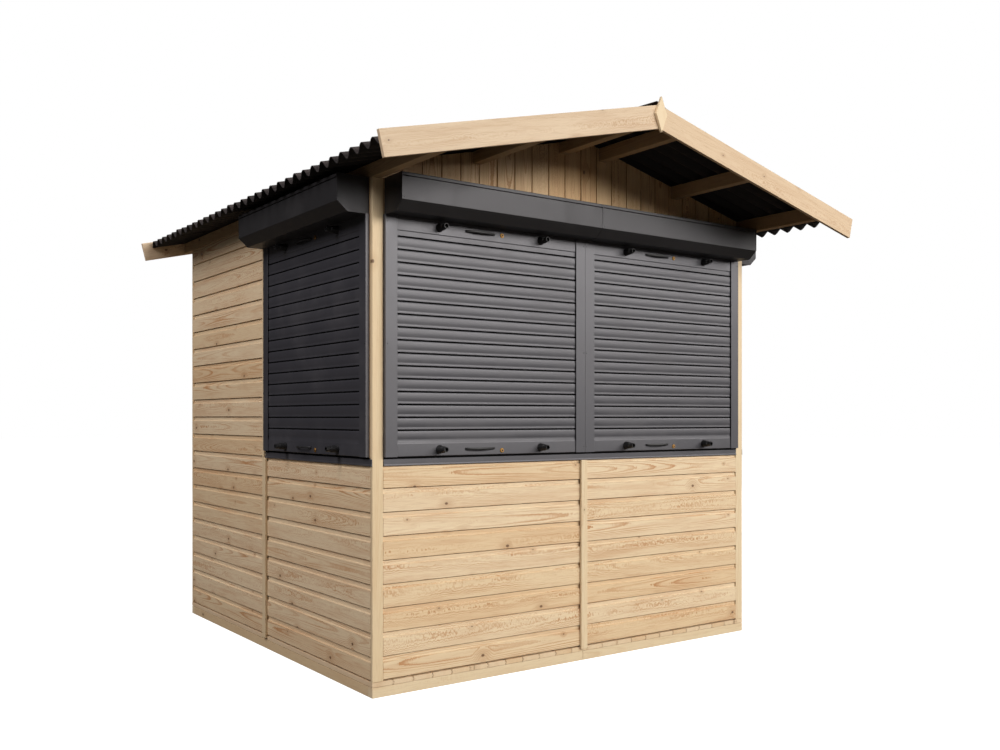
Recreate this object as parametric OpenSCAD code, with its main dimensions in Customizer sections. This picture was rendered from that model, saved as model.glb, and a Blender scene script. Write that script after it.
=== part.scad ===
/* [Walls] */
// Width of the hut over its walls
hut_w = 2480; // [2300:10:2700]
// Depth of the hut over its walls
hut_d = 2435; // [2300:5:2700]
// Height of the wall tops above the ground
wall_top = 2350; // [2300:5:2450]
// Thickness of a clad wall panel
wall_t = 56; // [50:1:70]
// Thickness of a corner board
corner_t = 20; // [15:1:25]

/* [Base] */
// Height of the bearers under the floor
bearer_h = 49; // [45:1:70]
// Width of a bearer
bearer_w = 45; // [40:1:60]
// Thickness of the floor boards
floor_t = 22; // [18:1:28]

/* [Serving openings] */
// Height of the lower walls above the ground
parapet_top = 1045; // [950:5:1100]
// Height of the metal sill on a lower wall
sill_h = 37; // [30:1:45]
// How far a sill stands out from its wall
sill_proud = 3; // [1:1:6]
// Width of a post beside an opening
post_w = 60; // [50:1:62]

/* [Cover battens] */
// Width of a cover batten
batten_w = 42; // [36:1:50]
// How far a cover batten stands out from its wall
batten_t = 14; // [12:1:18]
// How far a cover batten laps over the floor edge
batten_lap = 11; // [5:1:15]

/* [Roller shutters] */
// Width of one shutter over its two guides
shutter_w = 1184; // [1100:1:1200]
// Height of a shutter between sill and box
shutter_h = 1105; // [1100:1:1110]
// Width of a guide
guide_w = 63; // [55:1:70]
// How far a guide stands out from its wall
guide_t = 20; // [19:1:24]
// How far the curtain reaches into each guide
curtain_in_guide = 25; // [15:1:30]
// Height of one slat with its gap
slat_pitch = 59.1; // [58:0.1:59.5]
// Number of whole slats
slat_count = 16; // [14:1:16]
// Height of the bars at the top and the bottom of a curtain
bar_h = 65; // [60:1:70]
// Length of a shutter box
box_w = 1178; // [1100:1:1180]
// How far a box stands out from its wall
box_out = 160; // [140:1:180]
// Height of a box
box_h = 165; // [150:1:167]
// How far the chamfer of a box reaches in from its face
chamfer_out = 50; // [30:1:60]
// How far the chamfer of a box reaches up its face
chamfer_up = 44; // [30:1:60]

/* [Shutter fittings] */
// Distance of a stop from the middle of its shutter
stop_x = 300; // [200:5:400]
// Length of a rubber stop
stop_len = 60; // [40:1:70]
// Diameter of a stop at the curtain
stop_base_d = 40; // [30:1:40]
// Diameter of a stop at its tip
stop_tip_d = 25; // [15:1:28]
// Distance of a lift handle from the middle of its shutter
handle_x = 70.5; // [60:1:120]
// Length of a lift handle between its feet
handle_w = 169; // [150:1:220]
// How far a lift handle stands off its bar
handle_out = 26; // [20:1:35]
// Diameter of the handle rod
handle_d = 9; // [8:1:12]

/* [Roof] */
// Slope of the roof in degrees
roof_angle = 13.7; // [12:0.1:15]
// Width of a purlin
purlin_w = 48; // [40:1:60]
// Height of the eave purlins
eave_purlin_h = 70; // [60:1:80]
// Height of the ridge and middle purlins
purlin_h = 63; // [55:1:70]
// Distance of a ridge purlin from the middle of the hut
ridge_purlin_x = 135; // [110:1:160]
// Distance of a middle purlin from the middle of the hut
middle_purlin_x = 669; // [550:1:750]
// Distance of the sheet edge from the middle of the hut
sheet_edge_x = 1447; // [1420:1:1480]
// Thickness of a corrugated sheet
sheet_t = 3.5; // [3:0.5:5]
// Height of a corrugation
wave_h = 35; // [25:1:40]
// Number of corrugations between the barge boards
wave_count = 33; // [30:1:36]
// Roof overhang past the front wall, to the face of the barge boards
front_overhang = 563; // [500:1:600]
// Roof overhang past the rear wall, to the face of the barge boards
rear_overhang = 163; // [100:1:200]

/* [Barge boards] */
// Width of a barge board
barge_w = 111; // [100:1:130]
// Thickness of a barge board
barge_t = 18; // [15:1:22]
// Distance of a barge board's tip from the middle of the hut
barge_tip_x = 1517; // [1490:1:1560]
// Height of a barge board's top edge over the purlins
barge_over_purlin = 40; // [36:1:45]
// Half the width of an apex cover
apex_half_w = 36; // [30:1:60]
// Height of an apex cover
apex_h = 172; // [150:1:200]
// How far an apex cover stands up over the barge boards
apex_over_barge = 37; // [20:1:60]
// Thickness of an apex cover
apex_t = 14; // [10:1:25]

/* [Hidden] */
$fn = 48;
half_w = hut_w / 2;
half_d = hut_d / 2;
floor_top = bearer_h + floor_t;
opening_bottom = parapet_top + sill_h;
opening_top = opening_bottom + shutter_h;
inner_half_w = half_w - wall_t;
side_half_len = half_d - corner_t;
slope = tan(roof_angle);
roof_front = -half_d - front_overhang;
roof_rear = half_d + rear_overhang;
purlin_front = roof_front + barge_t;
purlin_rear = roof_rear - barge_t;
eave_purlin_x = half_w - purlin_w / 2;
// Height of the roof plane over the purlins at the middle of the hut
ridge_z = wall_top + eave_purlin_h + slope * eave_purlin_x;
barge_ridge_z = ridge_z + barge_over_purlin;
wave_pitch = (purlin_rear - purlin_front) / wave_count;
wave_steps = 8;
sheet_gap = 12;
cap_edge_x = 165;
cap_foot_x = 125;
cap_rise = 20;
// Depths of the shutter parts, measured outwards from the wall
curtain_back = 5;
curtain_face = 14;
slat_crown = 3;
slat_gap = 5;
slat_steps = 4;
slot_depth = 35;
slot_front = 17;
slot_back = 3;
curtain_bottom = opening_bottom;
slats_bottom = curtain_bottom + bar_h;
stop_z = [opening_bottom + 35, opening_top - 31];

// Height of the roof plane over the purlins at a distance x from the middle
function roof_z(x) = ridge_z - slope * abs(x);

// A block given by its lowest and highest corners
module block(low, high) {
  translate(low) cube(high - low);
}

// An outline in X and Z, drawn out along Y
module along_y(from, to) {
  translate([0, to, 0]) rotate([90, 0, 0]) linear_extrude(to - from) children();
}

// An outline in Y and Z, drawn out along X
module along_x(from, to) {
  translate([from, 0, 0]) rotate([90, 0, 90]) linear_extrude(to - from) children();
}

// The same shape on the left and on the right
module both_sides() {
  children();
  mirror([1, 0, 0]) children();
}

// ---- Base ----

module half_base_frame() {
  joist_x = [-half_w, -half_w / 2 - bearer_w / 2, -bearer_w];
  color("burlywood") {
    for (x = joist_x) block([x, -half_d, 0], [x + bearer_w, half_d, bearer_h]);
    for (y = [-half_d, half_d - bearer_w])
      block([-half_w, y, 0], [0, y + bearer_w, bearer_h]);
  }
}

module base_frame_left() half_base_frame();

module base_frame_right() mirror([1, 0, 0]) half_base_frame();

module floor() {
  color("wheat") block([-half_w, -half_d, bearer_h], [half_w, half_d, floor_top]);
}

// ---- Walls ----

module front_wall_left() {
  color("burlywood")
    block([-inner_half_w, -half_d, floor_top], [0, -half_d + wall_t, parapet_top]);
}

module front_wall_right() mirror([1, 0, 0]) front_wall_left();

module left_wall_front() {
  color("burlywood")
    block([-half_w, -side_half_len, floor_top], [-inner_half_w, 0, parapet_top]);
}

module left_wall_rear() {
  color("burlywood")
    block([-half_w, 0, floor_top], [-inner_half_w, side_half_len, wall_top]);
}

module right_wall_front() mirror([1, 0, 0]) left_wall_front();

module right_wall_rear() mirror([1, 0, 0]) left_wall_rear();

module rear_wall_left() {
  color("burlywood")
    block([-inner_half_w, half_d - wall_t, floor_top], [0, half_d, wall_top]);
}

module rear_wall_right() mirror([1, 0, 0]) rear_wall_left();

// ---- Serving openings ----

// Posts with a header between two heights, for a wall that runs along X
module opening_frame(length, post_places) {
  color("peru") {
    for (x = post_places)
      block([x, 0, opening_bottom], [x + post_w, wall_t, wall_top]);
    block([-length / 2, 0, opening_top], [length / 2, wall_t, wall_top]);
  }
}

module front_opening_frame() {
  places = [-inner_half_w, -post_w / 2, inner_half_w - post_w];
  translate([0, -half_d, 0]) opening_frame(2 * inner_half_w, places);
}

module left_opening_frame() {
  places = [-side_half_len / 2, side_half_len / 2 - post_w];
  translate([-half_w, -side_half_len / 2, 0]) rotate([0, 0, -90])
    opening_frame(side_half_len, places);
}

module right_opening_frame() mirror([1, 0, 0]) left_opening_frame();

module sills() {
  color("dimgray") {
    block([-inner_half_w, -half_d - sill_proud, parapet_top],
          [inner_half_w, -half_d + wall_t, opening_bottom]);
    both_sides()
      block([-half_w - sill_proud, -side_half_len, parapet_top],
            [-inner_half_w, 0, opening_bottom]);
  }
}

// ---- Trim ----

module corner_boards() {
  color("wheat") both_sides()
    for (y = [-half_d, half_d - corner_t])
      block([-half_w, y, floor_top], [-inner_half_w, y + corner_t, wall_top]);
}

module front_batten() {
  color("wheat")
    block([-batten_w / 2, -half_d - batten_t, floor_top - batten_lap],
          [batten_w / 2, -half_d, parapet_top]);
}

// Full width below the sill, and half the width beside the shutter
module side_battens() {
  color("wheat") both_sides() {
    block([-half_w - batten_t, -batten_w / 2, floor_top - batten_lap],
          [-half_w, batten_w / 2, parapet_top]);
    block([-half_w - batten_t, 0, parapet_top - 1], [-half_w, batten_w / 2, wall_top]);
  }
}

module rear_batten() {
  color("wheat")
    block([-batten_w / 2, half_d, floor_top - batten_lap],
          [batten_w / 2, half_d + batten_t, wall_top]);
}

// ---- Gables ----

module purlin_outline(x, z_bottom) {
  left = x - purlin_w / 2;
  right = x + purlin_w / 2;
  polygon([[left, z_bottom], [right, z_bottom], [right, roof_z(right)], [left, roof_z(left)]]);
}

module inner_purlin_outline(x) {
  purlin_outline(x, roof_z(x) - purlin_h);
}

module gable_outline() {
  edge = half_w - purlin_w;
  difference() {
    polygon([[-edge, wall_top], [edge, wall_top], [edge, roof_z(edge)],
             [0, ridge_z], [-edge, roof_z(edge)]]);
    for (x = [-middle_purlin_x, -ridge_purlin_x, ridge_purlin_x, middle_purlin_x])
      inner_purlin_outline(x);
  }
}

module front_gable() {
  color("peru") along_y(-half_d, -half_d + wall_t) gable_outline();
}

module rear_gable() {
  color("peru") along_y(half_d - wall_t, half_d) gable_outline();
}

// ---- Roof ----

module purlin_pair(x) {
  color("burlywood") both_sides()
    along_y(purlin_front, purlin_rear) inner_purlin_outline(x);
}

module ridge_purlins() purlin_pair(ridge_purlin_x);

module middle_purlins() purlin_pair(middle_purlin_x);

module eave_purlins() {
  color("burlywood") both_sides()
    along_y(purlin_front, purlin_rear) purlin_outline(eave_purlin_x, wall_top);
}

// Underside of the corrugations, as a height over the purlins at a place along the roof
function wave(i) = wave_h * (1 - cos(360 * i / wave_steps)) / 2;

function wave_line(lift) = [
  for (i = [0 : wave_steps * wave_count])
    [purlin_front + i * wave_pitch / wave_steps, wave(i) + lift]
];

function reversed(points) = [for (i = [len(points) - 1 : -1 : 0]) points[i]];

module corrugated_sheet() {
  color("#2a2827")
    translate([0, 0, ridge_z]) rotate([0, roof_angle, 0])
      along_x(sheet_gap, sheet_edge_x / cos(roof_angle))
        polygon(concat(wave_line(0), reversed(wave_line(sheet_t))));
}

module roof_sheet_right() corrugated_sheet();

module roof_sheet_left() mirror([1, 0, 0]) corrugated_sheet();

// A folded cap over the ridge, with a flange that lies on the crests at each side
module ridge_cap() {
  t = sheet_t / cos(roof_angle);
  crest_z = ridge_z + (wave_h + sheet_t) / cos(roof_angle);
  half_line = [[cap_edge_x, crest_z - slope * cap_edge_x],
               [cap_foot_x, crest_z - slope * cap_foot_x],
               [0, crest_z + cap_rise]];
  other_half = [for (p = reversed(half_line)) [-p.x, p.y]];
  underside = concat(half_line, [other_half[1], other_half[2]]);
  top = [for (p = underside) [p.x, p.y + t]];
  color("#2a2827")
    along_y(purlin_front, purlin_rear) polygon(concat(underside, reversed(top)));
}

// A board under the roof edge, cut square at its tip and plumb at the ridge
module barge_outline() {
  tip_z = barge_ridge_z - slope * barge_tip_x;
  polygon([[0, barge_ridge_z - barge_w / cos(roof_angle)],
           [barge_tip_x - barge_w * sin(roof_angle), tip_z - barge_w * cos(roof_angle)],
           [barge_tip_x, tip_z],
           [0, barge_ridge_z]]);
}

module barge_front_right() {
  color("wheat") along_y(roof_front, roof_front + barge_t) barge_outline();
}

module barge_front_left() mirror([1, 0, 0]) barge_front_right();

module barge_rear_right() {
  color("wheat") along_y(roof_rear - barge_t, roof_rear) barge_outline();
}

module barge_rear_left() mirror([1, 0, 0]) barge_rear_right();

// A diamond shaped board that covers the joint of two barge boards
module apex_outline() {
  middle_z = barge_ridge_z + apex_over_barge - apex_h / 2;
  polygon([[0, middle_z - apex_h / 2], [apex_half_w, middle_z],
           [0, middle_z + apex_h / 2], [-apex_half_w, middle_z]]);
}

module apex_covers() {
  color("wheat") {
    along_y(roof_front - apex_t, roof_front) apex_outline();
    along_y(roof_rear, roof_rear + apex_t) apex_outline();
  }
}

// ---- Roller shutters ----
// Each is drawn round X = 0 on a wall face at Y = 0 that looks towards -Y.

module at_front_left() translate([-inner_half_w / 2, -half_d, 0]) children();

module at_front_right() translate([inner_half_w / 2, -half_d, 0]) children();

module at_left() {
  translate([-half_w, -side_half_len / 2, 0]) rotate([0, 0, -90]) children();
}

module at_right() {
  translate([half_w, -side_half_len / 2, 0]) rotate([0, 0, 90]) children();
}

// A channel that is open towards the curtain
module guide() {
  outer = -shutter_w / 2;
  inner = outer + guide_w;
  color("#55565a") difference() {
    block([outer, -guide_t, opening_bottom], [inner, 0, opening_top]);
    block([inner - slot_depth, -slot_front, opening_bottom - 1],
          [inner + 1, -slot_back, opening_top + 1]);
  }
}

module guide_pair() both_sides() guide();

module front_guides() {
  at_front_left() guide_pair();
  at_front_right() guide_pair();
}

module left_guides() at_left() guide_pair();

module right_guides() at_right() guide_pair();

// Face of one slat, from its lower edge to its upper edge, with the gap above it
function slat_face(i) = concat(
  [for (k = [0 : slat_steps])
    [-curtain_face + slat_crown * pow(2 * k / slat_steps - 1, 2),
     slats_bottom + i * slat_pitch + k * (slat_pitch - slat_gap) / slat_steps]],
  [for (rise = [slat_gap, 0])
    [-curtain_face + 2 * slat_crown, slats_bottom + (i + 1) * slat_pitch - rise]]
);

function all_slats() = [for (i = [0 : slat_count - 1]) each slat_face(i)];

module curtain() {
  slats_top = slats_bottom + slat_count * slat_pitch;
  half = shutter_w / 2 - guide_w + curtain_in_guide;
  color("#4c4d52") along_x(-half, half)
    polygon(concat(
      [[-curtain_back, curtain_bottom], [-curtain_face - 1, curtain_bottom],
       [-curtain_face - 1, slats_bottom]],
      all_slats(),
      [[-curtain_face + slat_crown, slats_top], [-curtain_face + slat_crown, opening_top - bar_h],
       [-curtain_face - 1, opening_top - bar_h], [-curtain_face - 1, opening_top],
       [-curtain_back, opening_top]]));
}

module front_left_curtain() at_front_left() curtain();

module front_right_curtain() at_front_right() curtain();

module left_curtain() at_left() curtain();

module right_curtain() at_right() curtain();

// A closed housing with a chamfer along its lower front edge
module shutter_box() {
  top = opening_top + box_h;
  color("#3d3e42") along_x(-box_w / 2, box_w / 2)
    polygon([[0, opening_top], [-box_out + chamfer_out, opening_top],
             [-box_out, opening_top + chamfer_up], [-box_out, top], [0, top]]);
}

// The two front boxes meet in the middle of the wall
module front_left_box() translate([-box_w / 2, -half_d, 0]) shutter_box();

module front_right_box() translate([box_w / 2, -half_d, 0]) shutter_box();

module left_box() at_left() shutter_box();

module right_box() at_right() shutter_box();

// ---- Shutter fittings ----

module stops() {
  color("#1c1c1e")
    for (z = stop_z) for (x = [-stop_x, stop_x])
      translate([x, -curtain_face - 1, z]) rotate([90, 0, 0])
        cylinder(d1 = stop_base_d, d2 = stop_tip_d, h = stop_len);
}

module shutter_stops() {
  at_front_left() stops();
  at_front_right() stops();
  at_left() stops();
  at_right() stops();
}

// A rod bent to a flat bow, with both ends on the bar
module handle() {
  r = (pow(handle_w / 2, 2) + pow(handle_out, 2)) / (2 * handle_out);
  half_angle = asin(handle_w / 2 / r);
  color("#1c1c1e")
    translate([0, r - handle_out - curtain_face - 1, 0]) rotate([0, 0, -90 - half_angle])
      rotate_extrude(angle = 2 * half_angle) translate([r, 0]) circle(d = handle_d, $fn = 24);
}

module handles() {
  for (z = stop_z) translate([-handle_x, 0, z]) handle();
}

module lift_handles() {
  at_front_left() handles();
  at_front_right() handles();
  at_left() handles();
  at_right() handles();
}

base_frame_left();
base_frame_right();
floor();
front_wall_left();
front_wall_right();
left_wall_front();
left_wall_rear();
right_wall_front();
right_wall_rear();
rear_wall_left();
rear_wall_right();
front_opening_frame();
left_opening_frame();
right_opening_frame();
sills();
corner_boards();
front_batten();
side_battens();
rear_batten();
front_gable();
rear_gable();
ridge_purlins();
middle_purlins();
eave_purlins();
roof_sheet_left();
roof_sheet_right();
ridge_cap();
barge_front_left();
barge_front_right();
barge_rear_left();
barge_rear_right();
apex_covers();
front_guides();
left_guides();
right_guides();
front_left_curtain();
front_right_curtain();
left_curtain();
right_curtain();
front_left_box();
front_right_box();
left_box();
right_box();
shutter_stops();
lift_handles();
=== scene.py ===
import math
import random

import bmesh
import bpy
from mathutils import Matrix, Vector


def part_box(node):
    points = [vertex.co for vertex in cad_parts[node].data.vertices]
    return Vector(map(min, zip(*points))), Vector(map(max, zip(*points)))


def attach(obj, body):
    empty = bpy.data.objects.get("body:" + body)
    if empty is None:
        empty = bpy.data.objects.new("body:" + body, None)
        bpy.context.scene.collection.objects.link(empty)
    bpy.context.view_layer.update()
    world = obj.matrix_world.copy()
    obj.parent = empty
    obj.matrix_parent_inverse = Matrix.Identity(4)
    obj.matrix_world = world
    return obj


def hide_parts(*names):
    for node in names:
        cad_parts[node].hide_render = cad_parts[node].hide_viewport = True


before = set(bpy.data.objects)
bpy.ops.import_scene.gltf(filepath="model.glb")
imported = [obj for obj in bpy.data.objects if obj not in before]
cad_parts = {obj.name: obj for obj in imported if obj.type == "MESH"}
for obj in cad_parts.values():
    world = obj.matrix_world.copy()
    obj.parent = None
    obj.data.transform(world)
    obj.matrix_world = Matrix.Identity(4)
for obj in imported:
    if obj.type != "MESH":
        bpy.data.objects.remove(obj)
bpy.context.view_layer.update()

X = Vector((1, 0, 0))
Y = Vector((0, 1, 0))
Z = Vector((0, 0, 1))
FACING = Matrix.Rotation(math.pi / 2, 4, "X")  # turns Z to look towards -Y

# ---- Sizes, in metres, read from the frame where it gives them ----

FLOOR_LOW, FLOOR_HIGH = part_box("floor")
HALF_W = FLOOR_HIGH.x
HALF_D = FLOOR_HIGH.y
FLOOR_TOP = FLOOR_HIGH.z
WALL_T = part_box("rear_wall_left")[1].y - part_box("rear_wall_left")[0].y
PURLIN_LOW, PURLIN_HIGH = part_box("eave_purlins")
RIDGE_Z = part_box("front_gable")[1].z
SILL_LOW, SILL_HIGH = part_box("sills")

BOARD_T = 0.019
LAP_PITCH = 0.1088
LAP_GAP = 0.0040
FLOOR_GAP = 0.0075
COVE_H = 0.023
COVE_DEPTH = 0.0075
FLOOR_PITCH = 0.1055
GABLE_PITCH = 0.1072
GABLE_GAP = 0.0048
BEARER_W = 0.045
BEARER_GAP = 0.0018
HALF_JOINT = 0.0006
FLOOR_FACE = FLOOR_TOP - 0.0003
ROOF_ANGLE = math.radians(13.7)
SLOPE = math.tan(ROOF_ANGLE)
SHEET_T = 0.0035
WAVE_H = 0.035
WAVE_COUNT = 33
WAVE_PITCH = (PURLIN_HIGH.y - PURLIN_LOW.y) / WAVE_COUNT
WAVE_POWER = 0.88  # 1 is a plain cosine, less gives fuller crests and troughs
WAVE_STEPS = 16
SHEET_WAVES = 9
SHEET_EDGE_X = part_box("roof_sheet_right")[1].x
SHEET_RIDGE_GAP = 0.012
SHEET_TRIM = 0.006
NAIL_ROWS = (0.21, 0.669, 1.06, 1.36)

SHUTTER_W = 1.184
GUIDE_W = 0.063
GUIDE_T = 0.020
LIP_T = 0.0022
CURTAIN_FACE = 0.014
CURTAIN_IN_GUIDE = 0.025
CURTAIN_HALF = SHUTTER_W / 2 - GUIDE_W + CURTAIN_IN_GUIDE
BAR_FACE = CURTAIN_FACE + 0.001
SLAT_PITCH = 0.0591
SLAT_COUNT = 16
BAR_H = 0.065
OPENING_BOTTOM = SILL_HIGH.z
SLATS_LOW = OPENING_BOTTOM + BAR_H
BOX_LOW, BOX_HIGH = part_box("front_left_box")
BOX_W = BOX_HIGH.x - BOX_LOW.x
BOX_OUT = BOX_HIGH.y - BOX_LOW.y
OPENING_TOP = BOX_LOW.z
BOX_TOP = BOX_HIGH.z
CHAMFER_OUT = 0.050
CHAMFER_UP = 0.044


# ---- Shader maths ----

class Port:
    """An output of a shader node. Arithmetic on values adds Math nodes."""

    def __init__(self, tree, socket=None):
        self.tree = tree
        self.socket = socket

    def node(self, kind, settings=None, inputs=None, output=0):
        """Adds a node: its settings first, then the values or links of its sockets."""
        made = self.tree.nodes.new(kind)
        for name, setting in (settings or {}).items():
            if name == "stops":
                set_stops(made.color_ramp, setting)
            else:
                setattr(made, name, setting)
        for name, given in (inputs or {}).items():
            if isinstance(given, Port):
                self.tree.links.new(given.socket, made.inputs[name])
            else:
                made.inputs[name].default_value = given
        return Port(self.tree, made.outputs[output])

    def beside(self, place):
        """Another output of the same node."""
        return Port(self.tree, self.socket.node.outputs[place])

    def math(self, operation, *terms):
        return self.node("ShaderNodeMath", {"operation": operation}, dict(enumerate(terms)))

    def __add__(self, other):
        return self.math("ADD", self, other)

    def __radd__(self, other):
        return self.math("ADD", other, self)

    def __sub__(self, other):
        return self.math("SUBTRACT", self, other)

    def __rsub__(self, other):
        return self.math("SUBTRACT", other, self)

    def __mul__(self, other):
        return self.math("MULTIPLY", self, other)

    def __rmul__(self, other):
        return self.math("MULTIPLY", other, self)

    def __truediv__(self, other):
        return self.math("DIVIDE", self, other)

    def __pow__(self, other):
        return self.math("POWER", self, other)

    def smooth(self, low, high):
        """0 below low, 1 above high, and a smooth step between."""
        return self.node("ShaderNodeMapRange", {"interpolation_type": "SMOOTHSTEP"},
                         {"Value": self, "From Min": low, "From Max": high})

    def noise(self, vector, scale, detail=2.0, roughness=0.5):
        return self.node("ShaderNodeTexNoise", None,
                         {"Vector": vector, "Scale": scale, "Detail": detail,
                          "Roughness": roughness})

    def blend(self, factor, first, second, mode="MIX"):
        """A mix of two colours."""
        settings = {"data_type": "RGBA", "blend_type": mode}
        return self.node("ShaderNodeMix", settings, {0: factor, 6: first, 7: second}, output=2)

    def vector(self, x, y, z):
        return self.node("ShaderNodeCombineXYZ", None, {0: x, 1: y, 2: z})


def set_stops(ramp, stops):
    """Puts (place, colour) stops on a colour ramp."""
    while len(ramp.elements) > 1:
        ramp.elements.remove(ramp.elements[-1])
    ramp.elements[0].position, ramp.elements[0].color = stops[0]
    for place, colour in stops[1:]:
        ramp.elements.new(place).color = colour


def rgb(red, green, blue):
    return (red, green, blue, 1.0)


def new_material(name):
    """A material, its shader node and a port to build its maths from."""
    material = bpy.data.materials.new(name)
    material.use_nodes = True
    tree = material.node_tree
    return material, tree.nodes["Principled BSDF"], Port(tree)


def feed(shader, name, port):
    port.tree.links.new(port.socket, shader.inputs[name])


# ---- Materials ----

def pine(name, pale, dark, ring=0.0042, knots=0.5, roughness=0.55, contrast=0.7):
    """Softwood with its own rings, fibres, knots and tone on every board.

    The grain attribute holds the place along, across and through each board, and the
    board attribute a number from 0 to 1 that sets its tone."""
    material, shader, start = new_material(name)
    grain = start.node("ShaderNodeAttribute", {"attribute_name": "grain"}, output=1)
    board = start.node("ShaderNodeAttribute", {"attribute_name": "board"}, output=2)
    along = start.node("ShaderNodeSeparateXYZ", None, {0: grain})
    across = along.beside(1)
    depth = along.beside(2)

    # Knots: cells a third of a metre apart, most of them left empty
    flat = start.vector(along * 3.1, across * 4.5, 0.0)
    cell = start.node("ShaderNodeTexVoronoi", {"voronoi_dimensions": "2D"},
                      {"Vector": flat, "Scale": 1.0})
    chance = start.node("ShaderNodeSeparateColor", None, {0: cell.beside(1)})
    present = chance.smooth(1.0 - knots - 0.01, 1.0 - knots)
    size = 0.0042 + chance.beside(1) * 0.0085
    near = cell / 3.1 / size
    knot = present * (1.0 - near.smooth(0.55, 1.10))
    halo = present * (1.0 - near.smooth(0.8, 6.0))

    # Growth rings: distance from a wandering pith behind the face
    wander = start.noise(start.vector(along * 0.5, across * 1.5, board * 40.0), 1.0, 1.0) - 0.5
    sway = start.noise(start.vector(along * 2.4, across * 16.0, depth * 14.0), 1.0, 2.0) - 0.5
    ripple = start.noise(start.vector(along * 135.0, across * 50.0, depth * 30.0), 1.0, 1.0) - 0.5
    curly = (board * 7.3).math("FRACT", board * 7.3).smooth(0.40, 0.60)
    pith = depth + 0.044 + wander * 0.11
    radius = (across * across + pith * pith) ** 0.5
    rings = radius / ring + sway * 1.3 + ripple * (0.4 + curly * 1.5) + halo * 3.2
    phase = rings.math("FRACT", rings)
    late = phase.smooth(0.45, 0.92) * (1.0 - phase.smooth(0.93, 1.0))
    fade = start.noise(start.vector(rings * 0.31, along * 1.7, board * 9.0), 1.0, 2.0)
    late = late * (0.15 + fade.smooth(0.36, 0.66) * 0.85)

    # Fibres: short dark dashes along the board
    fibre = start.noise(start.vector(along * 11.0, across * 420.0, depth * 420.0), 1.0, 3.0, 0.6)
    patch = start.noise(start.vector(along * 2.2, across * 22.0, board * 30.0), 1.0, 3.0, 0.55)

    tint = start.node("ShaderNodeValToRGB", {"stops": (
        (0.0, rgb(*(c * 1.03 for c in pale))),
        (0.5, rgb(*pale)),
        (0.8, rgb(pale[0] * 0.98, pale[1] * 0.95, pale[2] * 0.90)),
        (1.0, rgb(pale[0] * 0.95, pale[1] * 0.88, pale[2] * 0.80)))}, {"Fac": board})
    body = start.blend(patch.smooth(0.45, 0.75) * 0.28, tint, rgb(*dark))
    ringed = start.blend(late * contrast, body, rgb(*dark))
    streaked = start.blend(fibre.smooth(0.50, 0.72) * 0.38, ringed,
                           rgb(*(c * 0.8 for c in dark)))
    haloed = start.blend(halo * 0.30, streaked, rgb(*(c * 0.80 for c in dark)))
    knotty = start.blend(knot * 0.88, haloed, rgb(0.125, 0.056, 0.022))
    feed(shader, "Base Color", knotty)
    feed(shader, "Roughness", roughness + late * 0.10 - knot * 0.12)
    height = fibre * 0.35 - late * 0.5 + knot * 0.4
    bump = start.node("ShaderNodeBump", None,
                      {"Strength": 0.45, "Distance": 0.0008, "Height": height})
    feed(shader, "Normal", bump)
    shader.inputs["IOR"].default_value = 1.42
    return material


def coated_metal(name, colour, roughness, dust, gloss):
    """Powder coated aluminium with a fine orange peel and a breath of pale dust."""
    material, shader, start = new_material(name)
    place = start.node("ShaderNodeTexCoord", output=3)
    cloud = start.noise(place, 3.5, 4.0, 0.6)
    smear = start.noise(start.node("ShaderNodeMapping", None,
                                   {"Vector": place, "Scale": (7.0, 7.0, 1.6)}), 1.0, 4.0, 0.65)
    grime = cloud.smooth(0.45, 0.75) * 0.6 + smear.smooth(0.5, 0.8) * 0.4
    tone = start.blend(grime * dust, rgb(*colour), rgb(0.36, 0.34, 0.33))
    feed(shader, "Base Color", tone)
    feed(shader, "Roughness", roughness + grime * 0.14)
    peel = start.noise(place, 900.0, 2.0)
    bump = start.node("ShaderNodeBump", None,
                      {"Strength": 0.12, "Distance": 0.0003, "Height": peel})
    feed(shader, "Normal", bump)
    shader.inputs["Metallic"].default_value = 0.0
    shader.inputs["Specular IOR Level"].default_value = gloss
    shader.inputs["Specular Tint"].default_value = rgb(0.965, 0.955, 1.0)
    return material


def bitumen(name):
    """Pressed bitumen fibre sheet: near black, matt, with a coarse felt, a paler, sun-bleached
    upper side, and an underside kept darker still as painted shade."""
    material, shader, start = new_material(name)
    place = start.node("ShaderNodeTexCoord", output=3)
    felt = start.noise(place, 260.0, 4.0, 0.7)
    patch = start.noise(place, 5.0, 3.0, 0.55)
    # 1 on the bleached upper side; 0 on the underside, which is darkened as painted shade.
    upper = start.node("ShaderNodeAttribute", {"attribute_name": "weather"}, output=2)
    bleached = start.blend(patch.smooth(0.35, 0.7), rgb(0.028, 0.023, 0.022),
                           rgb(0.060, 0.048, 0.046))
    base = start.blend(upper, rgb(0.011, 0.009, 0.009), bleached)
    speckled = start.blend(felt.smooth(0.55, 0.75) * (0.06 + upper * 0.29), base,
                           rgb(0.105, 0.087, 0.083))
    feed(shader, "Base Color", speckled)
    feed(shader, "Roughness", 0.72 + felt * 0.2)
    bump = start.node("ShaderNodeBump", None,
                      {"Strength": 0.5, "Distance": 0.0008, "Height": felt})
    feed(shader, "Normal", bump)
    return material


def black_rubber(name):
    """Moulded rubber and plastic: black, satin, with a fine grain."""
    material, shader, start = new_material(name)
    place = start.node("ShaderNodeTexCoord", output=3)
    grain = start.noise(place, 1400.0, 2.0)
    worn = start.noise(place, 60.0, 3.0)
    tone = start.blend(worn.smooth(0.5, 0.8), rgb(0.010, 0.010, 0.011), rgb(0.030, 0.030, 0.032))
    feed(shader, "Base Color", tone)
    feed(shader, "Roughness", 0.42 + worn * 0.25)
    bump = start.node("ShaderNodeBump", None,
                      {"Strength": 0.2, "Distance": 0.0002, "Height": grain})
    feed(shader, "Normal", bump)
    return material


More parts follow.
